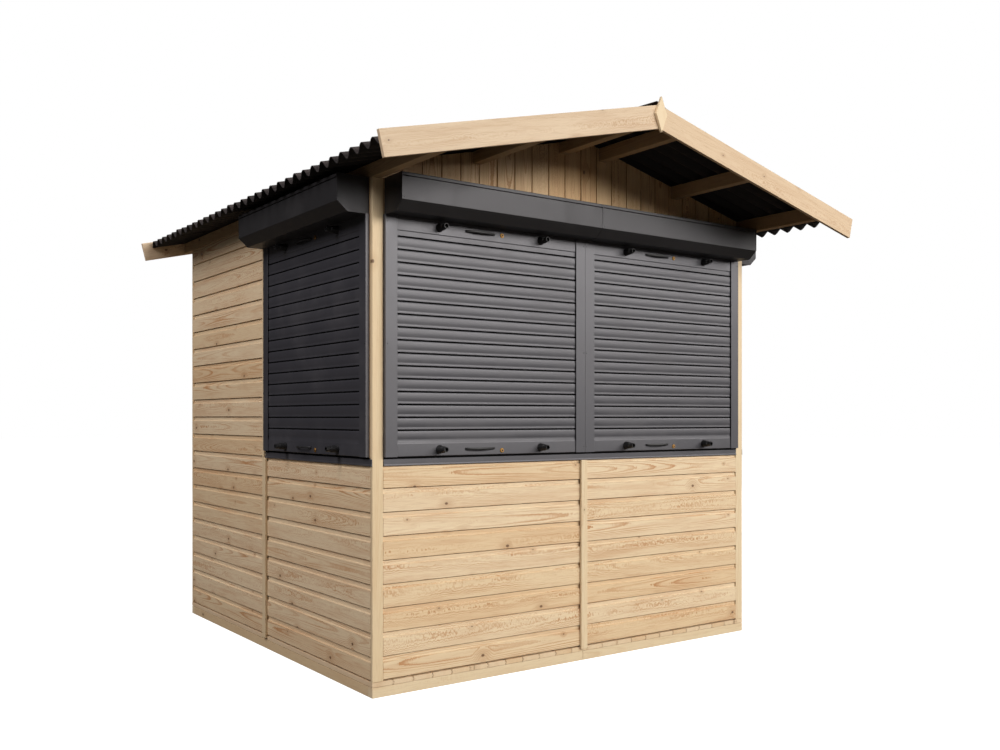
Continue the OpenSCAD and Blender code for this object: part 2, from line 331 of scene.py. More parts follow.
def black_seal_and_painted_shade(name):
    """Near black bristle strip that sends almost no light back: the brush seal in the guides, and
    painted shade that fills the slat joints and the gap under the bottom bar.
    """
    material, shader, start = new_material(name)
    place = start.node("ShaderNodeTexCoord", output=3)
    bristle = start.noise(place, 900.0, 2.0)
    feed(shader, "Base Color", start.blend(bristle, rgb(0.002, 0.002, 0.002),
                                           rgb(0.007, 0.007, 0.0075)))
    shader.inputs["Roughness"].default_value = 1.0
    shader.inputs["Specular IOR Level"].default_value = 0.0
    return material


def bright_metal(name, colour, roughness):
    """Bare turned metal, such as brass or zinc, with faint turning marks."""
    material, shader, start = new_material(name)
    place = start.node("ShaderNodeTexCoord", output=3)
    tarnish = start.noise(place, 320.0, 3.0)
    tone = start.blend(tarnish.smooth(0.4, 0.8) * 0.5, rgb(*colour),
                       rgb(*(c * 0.55 for c in colour)))
    feed(shader, "Base Color", tone)
    feed(shader, "Roughness", roughness + tarnish * 0.15)
    shader.inputs["Metallic"].default_value = 1.0
    return material


CLADDING = pine("pine_cladding", (0.785, 0.635, 0.425), (0.50, 0.235, 0.09), contrast=0.95)
TRIM = pine("pine_trim", (0.74, 0.60, 0.395), (0.62, 0.41, 0.215), knots=0.12, contrast=0.4)
BARGE = pine("pine_barge", (0.67, 0.525, 0.36), (0.46, 0.27, 0.14), knots=0.5, contrast=0.7)
# The gable boards take a darker, warmer copy of the cladding pine: painted shade for their place
# under the roof overhang.
GABLE = pine("pine_gable", (0.62, 0.43, 0.235), (0.34, 0.16, 0.055), knots=0.55, contrast=0.9)
FRAME = pine("pine_frame", (0.47, 0.325, 0.18), (0.32, 0.18, 0.08), roughness=0.7, contrast=0.5)
FLOOR = pine("pine_floor", (0.76, 0.60, 0.40), (0.60, 0.37, 0.19), knots=0.3, contrast=0.4)
GREY = coated_metal("anthracite_coating", (0.0355, 0.0355, 0.0425), 0.45, 0.07, 0.78)
BOX_GREY = coated_metal("box_coating", (0.016, 0.0155, 0.0165), 0.48, 0.03, 0.48)
BITUMEN = bitumen("bitumen_sheet")
RUBBER = black_rubber("black_rubber")
# Near black: brush seal in the guides, painted shade in the slat joints and under the bottom bar.
SEAL_AND_SHADE_BLACK = black_seal_and_painted_shade("seal_and_painted_shade_black")
BRASS = bright_metal("lock_brass", (0.42, 0.24, 0.075), 0.55)
ZINC = bright_metal("zinc_screws", (0.12, 0.12, 0.125), 0.45)


# ---- Making pieces ----

def finish_piece(name, bm, material, replaced=(), angle=35):
    """Turns a bmesh into a piece of the hut that rides on its body."""
    bmesh.ops.recalc_face_normals(bm, faces=bm.faces)
    mesh = bpy.data.meshes.new(name)
    bm.to_mesh(mesh)
    bm.free()
    mesh.materials.append(material)
    mesh.shade_smooth()
    mesh.set_sharp_from_angle(angle=math.radians(angle))
    piece = bpy.data.objects.new(name, mesh)
    bpy.context.scene.collection.objects.link(piece)
    even = piece.modifiers.new("even_shading", "WEIGHTED_NORMAL")
    even.keep_sharp = True
    if replaced:
        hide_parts(*replaced)
    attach(piece, "root")


def join(target, part):
    """Moves everything from one bmesh into another."""
    mesh = bpy.data.meshes.new("part")
    part.to_mesh(mesh)
    part.free()
    target.from_mesh(mesh)
    bpy.data.meshes.remove(mesh)


def draw_out(bm, outline, step):
    """Fills an outline and draws it out by a step into a closed bar."""
    near = [bm.verts.new(point) for point in outline]
    face = bm.faces.new(near)
    grown = bmesh.ops.extrude_face_region(bm, geom=[face])["geom"]
    far = [part for part in grown if isinstance(part, bmesh.types.BMVert)]
    bmesh.ops.translate(bm, verts=far, vec=step)


def block(bm, low, high, rounding=0.0, segments=2):
    """A block between two corners, with rounded edges."""
    low, high = Vector(low), Vector(high)
    size = Matrix.Diagonal((*(high - low), 1.0))
    made = bmesh.ops.create_cube(bm, size=1.0, matrix=Matrix.Translation((low + high) / 2) @ size)
    if rounding:
        edges = {edge for vert in made["verts"] for edge in vert.link_edges}
        bmesh.ops.bevel(bm, geom=list(edges), offset=rounding, segments=segments, profile=0.5,
                        affect="EDGES", material=-1)


def turned(bm, outline, place, steps=24):
    """Spins an outline of (radius, height) points about the local Z of a place."""
    verts = [bm.verts.new((radius, 0.0, height)) for radius, height in outline]
    edges = [bm.edges.new(pair) for pair in zip(verts, verts[1:])]
    bmesh.ops.spin(bm, geom=verts + edges, cent=(0, 0, 0), axis=(0, 0, 1),
                   angle=math.tau, steps=steps, use_merge=True)
    bmesh.ops.remove_doubles(bm, verts=bm.verts, dist=1e-6)
    bmesh.ops.transform(bm, matrix=place, verts=bm.verts)


def ease_cad_edges(bm, rounding, segments=2):
    """Joins the triangles of CAD faces and rounds the edges between the faces."""
    bmesh.ops.remove_doubles(bm, verts=bm.verts, dist=1e-5)
    bmesh.ops.dissolve_limit(bm, angle_limit=math.radians(1), verts=bm.verts, edges=bm.edges)
    bmesh.ops.bevel(bm, geom=list(bm.edges), offset=rounding, segments=segments, profile=0.5,
                    affect="EDGES", material=-1)


def add_wood_layers(bm):
    """Adds the two attributes that the pine materials read."""
    bm.verts.layers.float_vector.new("grain")
    bm.verts.layers.float.new("board")


class Timber:
    """The boards of one piece. Each board gets its own place in the grain and its own tone."""

    def __init__(self, seed):
        self.rng = random.Random(seed)
        self.bm = bmesh.new()
        add_wood_layers(self.bm)

    def mark(self, part, verts, along, across, tone=None):
        """Writes the grain of one board on its vertices."""
        grain = part.verts.layers.float_vector.get("grain")
        board = part.verts.layers.float.get("board")
        middle = sum((v.co for v in verts), Vector()) / len(verts)
        start = Vector((self.rng.uniform(0, 60), self.rng.uniform(-0.028, 0.028),
                        self.rng.uniform(0, 0.04)))
        tone = self.rng.random() if tone is None else tone
        through = along.cross(across)
        for vert in verts:
            place = vert.co - middle
            vert[grain] = start + Vector((place @ along, place @ across, place @ through))
            vert[board] = tone

    def add(self, part, along, across, tone=None):
        """Adds a bmesh that is one board."""
        add_wood_layers(part)
        self.mark(part, list(part.verts), along, across, tone)
        join(self.bm, part)

    def plank(self, low, high, along, across, rounding=0.0015):
        """Adds a straight board between two corners."""
        part = bmesh.new()
        block(part, low, high, rounding)
        self.add(part, along, across)

    def moulding(self, outline, step, across):
        """Adds a board that is an outline drawn out by a step."""
        part = bmesh.new()
        draw_out(part, outline, step)
        self.add(part, step.normalized(), across)

    def from_cad(self, node, along, across, rounding=0.002, segments=2):
        """Adds the solids of a CAD node, each as one board with rounded edges."""
        part = bmesh.new()
        part.from_mesh(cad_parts[node].data)
        for layer in list(part.loops.layers.uv):
            part.loops.layers.uv.remove(layer)
        ease_cad_edges(part, rounding, segments)
        add_wood_layers(part)
        for solid in loose_solids(part):
            self.mark(part, solid, along, across)
        join(self.bm, part)

    def finish(self, name, material, slot, *replaced):
        finish_piece(name, self.bm, material, replaced)


def loose_solids(bm):
    """The vertices of each separate solid."""
    left = dict.fromkeys(bm.verts)
    solids = []
    while left:
        first = next(iter(left))
        del left[first]
        solid = [first]
        for vert in solid:
            for edge in vert.link_edges:
                other = edge.other_vert(vert)
                if other in left:
                    del left[other]
                    solid.append(other)
        solids.append(solid)
    return solids


# ---- Base and floor ----

def make_base():
    """Two bearer frames that meet under the middle of the hut."""
    for side, name in ((-1, "left"), (1, "right")):
        timber = Timber(11 + side)
        top = FLOOR_LOW.z - BEARER_GAP
        for y in (-HALF_D, HALF_D - BEARER_W):
            ends = sorted((side * HALF_W, side * HALF_JOINT))
            timber.plank((ends[0], y, 0), (ends[1], y + BEARER_W, top), X, Z, 0.002)
        for x in (HALF_W - BEARER_W, (HALF_W - BEARER_W) / 2, HALF_JOINT):
            ends = sorted((side * x, side * (x + BEARER_W)))
            timber.plank((ends[0], -HALF_D + BEARER_W, 0),
                         (ends[1], HALF_D - BEARER_W, top), Y, Z, 0.002)
        timber.finish(f"base_bearers_{name}", TRIM, "pine_frame", f"base_frame_{name}")


def floor_board_outline(left, right, z):
    """A tongue on the right edge, a groove in the left one, and open joints above and below."""
    tongue = 0.006
    top = FLOOR_FACE
    return [
        (left + 0.0036, z), (right - 0.0004, z), (right - 0.0004, z + 0.0065),
        (right + tongue, z + 0.0070), (right + tongue, z + 0.0125),
        (right - 0.0004, z + 0.013), (right - 0.0004, top - 0.001), (right - 0.0014, top),
        (left + 0.0044, top), (left + 0.0034, top - 0.001), (left + 0.0034, z + 0.0142),
        (left + tongue + 0.0022, z + 0.0140), (left + tongue + 0.0022, z + 0.0060),
        (left + 0.0036, z + 0.0058)]


def make_floor():
    timber = Timber(21)
    z = FLOOR_LOW.z
    left = -HALF_W
    while left < HALF_W - 0.02:
        right = left + FLOOR_PITCH
        if right > HALF_W:
            timber.plank((left + 0.0014, -HALF_D, z), (HALF_W, HALF_D, FLOOR_FACE), Y, X)
        else:
            start = left - 0.0014 if left == -HALF_W else left
            outline = [(max(x, -HALF_W), -HALF_D, h)
                       for x, h in floor_board_outline(start, right, z)]
            if left == -HALF_W:
                outline = outline[:8] + [(-HALF_W + 0.001, -HALF_D, FLOOR_FACE),
                                         (-HALF_W, -HALF_D, FLOOR_FACE - 0.001),
                                         (-HALF_W, -HALF_D, z + 0.001)]
            timber.moulding(outline, 2 * HALF_D * Y, X)
        left = right
    timber.finish("floor_boards", FLOOR, "pine_floor", "floor")


# ---- Walls ----

def lap_board_outline(height, gap):
    """Depth and height of a lap board: rounded lower edge, hollow rebate at its top."""
    face_top = LAP_PITCH - COVE_H
    points = [(-BOARD_T, gap), (-0.0022, gap), (-0.0007, gap + 0.0006), (0.0, gap + 0.0022)]
    steps = 5
    for i in range(steps + 1):
        turn = math.pi / 2 * i / steps
        level = face_top + 0.006 * (1 - math.cos(turn))
        depth = -COVE_DEPTH * math.sin(turn)
        if level < height:
            points.append((depth, level))
    last = points[-1][0]
    points.append((last, height))
    points.append((-BOARD_T, height))
    return points


def cladding(node, outward, seed):
    """Horizontal lap boards on a backing, in the place of one wall panel."""
    low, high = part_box(node)
    along = X if abs(outward.y) > 0.5 else Y
    face = high if sum(outward) > 0 else low
    start = Vector((low.x, low.y, 0.0))
    length = (high - low) @ along
    origin = start + outward * ((face - start) @ outward)
    timber = Timber(seed)
    bottom = low.z
    row = 0
    while bottom < high.z - 0.004:
        height = min(LAP_PITCH, high.z - bottom)
        outline = [origin + outward * depth + Z * (bottom + level) + along * 0.0004
                   for depth, level in lap_board_outline(height, LAP_GAP if row else FLOOR_GAP)]
        timber.moulding(outline, along * (length - 0.0008), Z)
        row += 1
        bottom = low.z + row * LAP_PITCH
    back = origin - outward * WALL_T
    front = origin - outward * BOARD_T + along * length
    corners = [Vector(map(min, back, front)), Vector(map(max, back, front))]
    corners[0].z, corners[1].z = low.z + 0.003, high.z
    timber.plank(*corners, along, Z, 0.0)
    timber.finish(f"{node}_boards", CLADDING, "pine_cladding", node)


def make_walls():
    panels = (("front_wall_left", -Y), ("front_wall_right", -Y),
              ("left_wall_front", -X), ("left_wall_rear", -X),
              ("right_wall_front", X), ("right_wall_rear", X),
              ("rear_wall_left", Y), ("rear_wall_right", Y))
    for seed, (node, outward) in enumerate(panels):
        cladding(node, outward, 100 + seed)


def roof_z(x):
    """Height of the roof plane over the purlins."""
    return RIDGE_Z - SLOPE * abs(x)


def roof_axes(side):
    """The directions down one side of the roof and square to it."""
    run, rise = math.cos(ROOF_ANGLE), math.sin(ROOF_ANGLE)
    return Vector((run * side, 0, -rise)), Vector((rise * side, 0, run))


def gable_boards(node, outward, seed):
    """Upright matched boards that run up to the roof, over a plain backing."""
    low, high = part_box(node)
    face = high.y if outward > 0 else low.y
    timber = Timber(seed)
    left = low.x
    while left < high.x - 0.01:
        right = min(left + GABLE_PITCH, high.x)
        xs = [left + GABLE_GAP / 2, right - GABLE_GAP / 2]
        top = [(x, roof_z(x) - 0.001) for x in xs]
        if xs[0] < 0 < xs[1]:
            top.insert(1, (0.0, roof_z(0.0) - 0.001))
        sink = timber.rng.uniform(0, 0.0012)
        part = bmesh.new()
        near = [(x, face - outward * sink, z)
                for x, z in [(xs[0], low.z), (xs[1], low.z)] + top[::-1]]
        draw_out(part, near, -outward * (BOARD_T - sink) * Y)
        upright = [edge for edge in part.edges
                   if abs((edge.verts[0].co - edge.verts[1].co).normalized().z) > 0.99]
        bmesh.ops.bevel(part, geom=upright, offset=0.002, segments=2, profile=0.5,
                        affect="EDGES", material=-1)
        timber.add(part, Z, X)
        left += GABLE_PITCH
    inner = face - outward * WALL_T
    skin = face - outward * (BOARD_T - 0.008)
    outline = [(low.x, inner, low.z), (high.x, inner, low.z), (high.x, inner, roof_z(high.x)),
               (0.0, inner, RIDGE_Z), (low.x, inner, roof_z(low.x))]
    backing = bmesh.new()
    draw_out(backing, outline, (skin - inner) * Y)
    timber.add(backing, Z, X, 1.0)
    # Darker gable pine: painted shade under the roof overhang.
    timber.finish(f"{node}_boards", GABLE, "pine_gable", node)


# ---- Trim ----

def make_trim():
    for name, node, across in (("corner_trim", "corner_boards", X),
                               ("front_batten_trim", "front_batten", X),
                               ("side_batten_trim", "side_battens", Y),
                               ("rear_batten_trim", "rear_batten", X)):
        timber = Timber(hash_of(name))
        timber.from_cad(node, Z, across, 0.003, 3)
        timber.finish(name, TRIM, "pine_trim", node)


def hash_of(name):
    """The same small number each run for a name."""
    return sum(ord(letter) * (place + 1) for place, letter in enumerate(name))


def make_opening_frames():
    for node, along in (("front_opening_frame", X), ("left_opening_frame", Y),
                        ("right_opening_frame", Y)):
        timber = Timber(hash_of(node))
        timber.from_cad(node, along, Z, 0.002)
        timber.finish(f"{node}_timbers", FRAME, "pine_frame", node)


# ---- Roof ----

def make_purlins():
    for node in ("ridge_purlins", "middle_purlins", "eave_purlins"):
        timber = Timber(hash_of(node))
        timber.from_cad(node, Y, Z, 0.002)
        timber.finish(f"{node}_timbers", FRAME, "pine_frame", node)


def make_barge_boards():
    for side, name in ((-1, "left"), (1, "right")):
        along, across = roof_axes(side)
        for end in ("front", "rear"):
            node = f"barge_{end}_{name}"
            timber = Timber(hash_of(node))
            timber.from_cad(node, along, across, 0.0015)
            timber.finish(f"{node}_board", BARGE, "pine_trim", node)
    timber = Timber(7)
    timber.from_cad("apex_covers", Z, X, 0.001)
    timber.finish("apex_cover_boards", TRIM, "pine_trim", "apex_covers")


def wave(place):
    """Height of the underside of a corrugated sheet at a number of waves from its edge."""
    swing = math.cos(math.tau * place)
    return WAVE_H * (1 - math.copysign(abs(swing) ** WAVE_POWER, swing)) / 2


def corrugated_sheet(bm, first, last, side):
    """One sheet from its first wave to its last, which laps over the next sheet."""
    laps = last < WAVE_COUNT
    down, normal = roof_axes(side)
    ridge = Vector((0, 0, RIDGE_Z)) + down * SHEET_RIDGE_GAP
    length = SHEET_EDGE_X / math.cos(ROOF_ANGLE) - SHEET_RIDGE_GAP - SHEET_TRIM
    part = bmesh.new()
    verts = []
    for i in range((last - first) * WAVE_STEPS + 1):
        place = first + i / WAVE_STEPS
        lift = 0.0  # rises onto the next sheet within the last wave and a half
        if laps:
            lift = SHEET_T * min(1.0, max(0.0, (place - last + 1.5) * 2))
        point = ridge + Y * (PURLIN_LOW.y + place * WAVE_PITCH) + normal * (wave(place) + lift)
        verts.append(part.verts.new(point))
    edges = [part.edges.new(pair) for pair in zip(verts, verts[1:])]
    grown = bmesh.ops.extrude_edge_only(part, edges=edges)["geom"]
    far = [item for item in grown if isinstance(item, bmesh.types.BMVert)]
    bmesh.ops.translate(part, verts=far, vec=down * length)
    bmesh.ops.recalc_face_normals(part, faces=part.faces)
    if next(iter(part.faces)).normal @ normal > 0:
        bmesh.ops.reverse_faces(part, faces=part.faces)
    bmesh.ops.solidify(part, geom=part.faces[:], thickness=SHEET_T)
    part.normal_update()
    # Marks the upper side 1, to be bleached, and the underside 0, which the material darkens as
    # painted shade.
    weather = part.verts.layers.float.new("weather")
    for vert in part.verts:
        vert[weather] = 1.0 if vert.normal @ normal > 0 else 0.0
    join(bm, part)


def make_sheets():
    for side, name in ((-1, "left"), (1, "right")):
        bm = bmesh.new()
        bm.verts.layers.float.new("weather")
        for first in range(0, WAVE_COUNT, SHEET_WAVES):
            corrugated_sheet(bm, first, min(first + SHEET_WAVES + 1, WAVE_COUNT), side)
        finish_piece(f"corrugated_sheets_{name}", bm, BITUMEN,
                     (f"roof_sheet_{name}",), 60)


def make_ridge_cap():
    bm = bmesh.new()
    bm.from_mesh(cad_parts["ridge_cap"].data)
    ease_cad_edges(bm, 0.0012)
    weather = bm.verts.layers.float.new("weather")
    for vert in bm.verts:
        vert[weather] = 1.0
    finish_piece("ridge_capping", bm, BITUMEN, ("ridge_cap",))


def make_roof_nails():
    """A capped nail on every second crest over each purlin."""
    outline = [(0.0, 0.0055), (0.005, 0.0050), (0.0085, 0.0032), (0.0100, 0.0)]
    bm = bmesh.new()
    for side in (-1, 1):
        tilt = Matrix.Rotation(side * ROOF_ANGLE, 4, "Y")
        for x in NAIL_ROWS:
            for i in range(0, WAVE_COUNT, 2):
                y = PURLIN_LOW.y + (i + 0.5) * WAVE_PITCH
                over = (WAVE_H + SHEET_T) / math.cos(ROOF_ANGLE)
                part = bmesh.new()
                place = Matrix.Translation((side * x, y, roof_z(x) + over)) @ tilt
                turned(part, outline, place, 10)
                join(bm, part)
    finish_piece("roof_nail_caps", bm, RUBBER, (), 60)


# ---- Roller shutters ----
# Drawn round X = 0 on a wall face at Y = 0 that looks towards -Y, then put in place.

def shutter_place(curtain):
    """Where the shutter with this curtain stands."""
    low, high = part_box(curtain)
    middle = (low + high) / 2
    if curtain == "left_curtain":
        return Matrix.Translation((-HALF_W, middle.y, 0)) @ Matrix.Rotation(-math.pi / 2, 4, "Z")
    if curtain == "right_curtain":
        return Matrix.Translation((HALF_W, middle.y, 0)) @ Matrix.Rotation(math.pi / 2, 4, "Z")
    return Matrix.Translation((middle.x, -HALF_D, 0))


def slat_face():
    """Depth and height of one slat: a lip, a hollow that looks down, and a crowned face."""
    return [(0.0122, 0.0050), (0.0126, 0.0058), (0.0125, 0.0105), (0.0119, 0.0135),
            (0.0119, 0.0160), (0.0128, 0.0220), (0.0136, 0.0280), (0.0140, 0.0350),
            (0.0140, 0.0430), (0.0136, 0.0505), (0.0130, 0.0548), (0.0118, 0.0570),
            (0.0020, 0.0572)]


def curtain_outline():
    """The whole curtain from side on, as (y, z) points from the bottom up."""
    back = 0.0002
    face = BAR_FACE
    low = OPENING_BOTTOM + 0.0045
    slats = SLATS_LOW
    points = [(back, low), (face - 0.0025, low), (face, low + 0.0025),
              (face, slats - 0.003), (face - 0.0012, slats - 0.0006), (0.0134, slats + 0.003),
              (0.0130, slats + 0.009)]
    for i in range(SLAT_COUNT):
        base = slats + i * SLAT_PITCH
        if i:
            points.append((0.0020, base + 0.0048))
        points += [(depth, base + level) for depth, level in slat_face()[(4 if i == 0 else 0):]]
    top = slats + SLAT_COUNT * SLAT_PITCH
    bar = OPENING_TOP - BAR_H
    points += [(0.0020, top + 0.0048), (0.0122, top + 0.0050), (0.0126, top + 0.0058),
               (0.0124, bar - 0.003), (0.0128, bar - 0.0015),
               (face - 0.0012, bar), (face, bar + 0.0015), (face, OPENING_TOP),
               (back, OPENING_TOP)]
    return [(-depth, level) for depth, level in points]


def make_curtain(node):
    bm = bmesh.new()
    half = CURTAIN_HALF
    outline = [(-half, y, z) for y, z in curtain_outline()]
    draw_out(bm, outline, 2 * half * X)
    bmesh.ops.transform(bm, matrix=shutter_place(node), verts=bm.verts)
    finish_piece(f"{node}_slats", bm, GREY, (node,), 28)
    make_shade_fills_and_brushes(node)


def make_shade_fills_and_brushes(node):
    """Near black strips: one in each joint between slats and one below the bottom bar, painted
    shade filling those gaps, and a brush seal in each guide.
    """
    bm = bmesh.new()
    half = CURTAIN_HALF
    slats = SLATS_LOW
    # Painted shade: a black strip behind each slat joint stands in for the shadow in the gap.
    for i in range(1, SLAT_COUNT + 1):
        joint = slats + i * SLAT_PITCH
        block(bm, (-half, -0.0095, joint - 0.0020), (half, -0.0018, joint + 0.0050))
    inner = SHUTTER_W / 2 - GUIDE_W
    for side in (-1, 1):
        ends = sorted((side * (inner + 0.0015), side * (inner + 0.006)))
        block(bm, (ends[0], -GUIDE_T + LIP_T, OPENING_BOTTOM + 0.006),
              (ends[1], -0.0142, OPENING_TOP - 0.001))
        ends = sorted((side * (inner + 0.004), side * (inner + 0.007)))
        block(bm, (ends[0], -0.0160, OPENING_BOTTOM + 0.006),
              (ends[1], -0.0110, OPENING_TOP - 0.001))
    # Painted shade: a black strip fills the gap between the bottom bar and the sill.
    block(bm, (-SHUTTER_W / 2 + 0.001, -0.0050, OPENING_BOTTOM - 0.0044),
          (SHUTTER_W / 2 - 0.001, 0.0070, OPENING_BOTTOM + 0.0060))
    bmesh.ops.transform(bm, matrix=shutter_place(node), verts=bm.verts)
    finish_piece(f"{node}_shade_fills_and_brushes", bm, SEAL_AND_SHADE_BLACK)


def guide_outline():
    """A channel from above, open towards the curtain, with rounded outer corners."""
    outer = -SHUTTER_W / 2
    inner = outer + GUIDE_W
    r = 0.002
    return [(outer, 0.0), (outer, -GUIDE_T + r), (outer + 0.3 * r, -GUIDE_T + 0.3 * r),
            (outer + r, -GUIDE_T), (inner - 0.0012, -GUIDE_T), (inner, -GUIDE_T + 0.0012),
            (inner, -GUIDE_T + LIP_T), (inner - 0.035, -GUIDE_T + LIP_T),
            (inner - 0.035, -0.003), (inner, -0.003), (inner, 0.0)]


def screw(bm, place, radius=0.0035):
    """A domed screw head with a cross recess."""
    part = bmesh.new()
    turned(part, [(0.0, 0.0004), (radius * 0.45, 0.0006), (radius * 0.5, 0.0016),
                  (radius * 0.85, 0.0011), (radius, 0.0)], place, 12)
    join(bm, part)


def make_guides(node, curtains):
    bm = bmesh.new()
    screws = bmesh.new()
    height = OPENING_TOP - OPENING_BOTTOM
    low = OPENING_BOTTOM + 0.004
    for curtain in curtains:
        part = bmesh.new()
        for side in (-1, 1):
            half = bmesh.new()
            draw_out(half, [(x, y, low) for x, y in guide_outline()], (height - 0.004) * Z)
            if side > 0:
                bmesh.ops.scale(half, vec=(-1, 1, 1), verts=half.verts)
                bmesh.ops.reverse_faces(half, faces=half.faces)
            join(part, half)
            for level in (0.035, 0.52, height - 0.030):
                spot = Vector((side * (SHUTTER_W / 2 - 0.010), -GUIDE_T, OPENING_BOTTOM + level))
                screw(screws, shutter_place(curtain) @ Matrix.Translation(spot) @ FACING)
        bmesh.ops.transform(part, matrix=shutter_place(curtain), verts=part.verts)
        join(bm, part)
    finish_piece(f"{node}_channels", bm, GREY, (node,), 28)
    finish_piece(f"{node}_screws", screws, ZINC, (), 40)


def sill_outline():
    """Depth and height of a sill, with a shadow gap at its top and a drip edge below."""
    low, high = SILL_LOW.z, SILL_HIGH.z
    out = 0.003
    return [(-WALL_T, low), (out - 0.001, low), (out + 0.0018, low + 0.0012),
            (out + 0.0022, low + 0.0045), (out + 0.0008, low + 0.0085), (out, low + 0.010),
            (out, high - 0.006), (out - 0.001, high - 0.005), (-0.008, high - 0.0046),
            (-0.008, high), (-WALL_T, high)]


def make_sills():
    bm = bmesh.new()
    inner = HALF_W - WALL_T - 0.001
    side_low = SILL_LOW.y + 0.0045
    runs = ((Vector((-inner, -HALF_D, 0)), -Y, 2 * inner * X),
            (Vector((-HALF_W, side_low, 0)), -X, -side_low * Y),
            (Vector((HALF_W, side_low, 0)), X, -side_low * Y))
    for start, outward, step in runs:
        outline = [start + outward * depth + Z * level for depth, level in sill_outline()]
        part = bmesh.new()
        draw_out(part, outline, step)
        join(bm, part)
    finish_piece("sill_profiles", bm, GREY, ("sills",), 28)


def box_outline(grow=0.0):
    """The housing from side on: a lid that laps over the face, and a chamfer below."""
    face = BOX_OUT - 0.0015 + grow
    low, top = OPENING_TOP - grow, BOX_TOP
    bend_out = BOX_OUT - CHAMFER_OUT
    bend_up = OPENING_TOP + CHAMFER_UP
    lid = BOX_TOP - 0.015
    points = [(0.0, low), (bend_out - 0.003, low), (bend_out, low + 0.0008),
              (face - 0.0012, bend_up - 0.0018), (face, bend_up + 0.0008)]
    if not grow:
        points += [(face, lid - 0.0050), (face - 0.0060, lid - 0.0046),
                   (face - 0.0060, lid - 0.0004), (BOX_OUT - 0.0004, lid)]
    points += [(BOX_OUT + grow / 2, lid + 0.0006), (BOX_OUT + grow / 2, top - 0.002),
               (BOX_OUT - 0.002, top), (0.0, top)]
    return [(-depth, level) for depth, level in points]


def make_box(node):
    """A sheet metal housing with an end plate at each end."""
    low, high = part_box(node)
    middle = (low + high) / 2
    place = Matrix.Translation((middle.x, -HALF_D, 0))
    if node.startswith("left_"):
        place = shutter_place("left_curtain")
    if node.startswith("right_"):
        place = shutter_place("right_curtain")
    bm = bmesh.new()
    screws = bmesh.new()
    half = BOX_W / 2
    plate = 0.004
    draw_out(bm, [(-half + plate, y, z) for y, z in box_outline()], 2 * (half - plate) * X)
    for start in (-half, half - plate + 0.0008):
        outline = [(start, y, z) for y, z in box_outline(0.0008)]
        draw_out(bm, outline, (plate - 0.0008) * X)
    bmesh.ops.transform(bm, matrix=place, verts=bm.verts)
    for x in (-half + 0.012, half - 0.012):
        for z in (OPENING_TOP + CHAMFER_UP + 0.012, BOX_TOP - 0.008):
            out = BOX_OUT - (0.0015 if z < BOX_TOP - 0.015 else 0.0)
            screw(screws, place @ Matrix.Translation((x, -out, z)) @ FACING, 0.003)
    finish_piece(f"{node}_housing", bm, BOX_GREY, (node,), 28)
    finish_piece(f"{node}_screws", screws, ZINC, (), 40)


# ---- Shutter fittings ----

STOP_X = 0.300
HANDLE_X = -0.0705
HANDLE_W = 0.169
HANDLE_OUT = 0.026
LOCK_X = 0.059
FITTING_Z = (OPENING_BOTTOM + 0.035, OPENING_TOP - 0.031)
CURTAINS = ("front_left_curtain", "front_right_curtain", "left_curtain", "right_curtain")


def facing_out(x, z):
    """A place on the bar of a shutter whose Z looks out of the wall."""
    return Matrix.Translation((x, -BAR_FACE, z)) @ FACING


def make_stops():
    """Tapered rubber buffers with a hollow tip."""
    outline = [(0.0, 0.0), (0.0200, 0.0), (0.0200, 0.005), (0.0192, 0.0065), (0.0185, 0.010),
               (0.0165, 0.034), (0.0158, 0.0355), (0.0136, 0.0365), (0.0126, 0.0585),
               (0.0118, 0.0600), (0.0100, 0.0600), (0.0094, 0.0590), (0.0088, 0.0450),
               (0.0, 0.0440)]
    bm = bmesh.new()
    for curtain in CURTAINS:
        for z in FITTING_Z:
            for x in (-STOP_X, STOP_X):
                part = bmesh.new()
                turned(part, outline, shutter_place(curtain) @ facing_out(x, z), 28)
                join(bm, part)
    finish_piece("rubber_stops", bm, RUBBER, ("shutter_stops",), 30)


def make_handles():
    """Flat bow handles on both bars, each a strap swept along its bow with a foot at each end."""
    bm = bmesh.new()
    steps = 24
    for curtain in CURTAINS:
        for z in FITTING_Z:
            place = shutter_place(curtain) @ facing_out(HANDLE_X, z)
            part = bmesh.new()
            ring = [part.verts.new((-HANDLE_W / 2, y, h))
                    for y, h in ((-0.0050, 0.0), (-0.0050, 0.0035), (-0.0020, 0.0052),
                                (0.0020, 0.0052), (0.0050, 0.0035), (0.0050, 0.0))]
            face = part.faces.new(ring)
            for i in range(1, steps + 1):
                grown = bmesh.ops.extrude_face_region(part, geom=[face])["geom"]
                moved = [item for item in grown if isinstance(item, bmesh.types.BMVert)]
                face = [item for item in grown if isinstance(item, bmesh.types.BMFace)][0]
                rise = bow(i / steps) - bow((i - 1) / steps)
                bmesh.ops.translate(part, verts=moved, vec=(HANDLE_W / steps, 0, rise))
            bmesh.ops.transform(part, matrix=place, verts=part.verts)
            join(bm, part)
    finish_piece("bow_handles", bm, RUBBER, ("lift_handles",), 40)


def bow(t):
    """Height of a handle over its bar, from one foot at 0 to the other at 1."""
    return (HANDLE_OUT - 0.0052) * math.sin(math.pi * t) ** 0.7 if 0 < t < 1 else 0.0


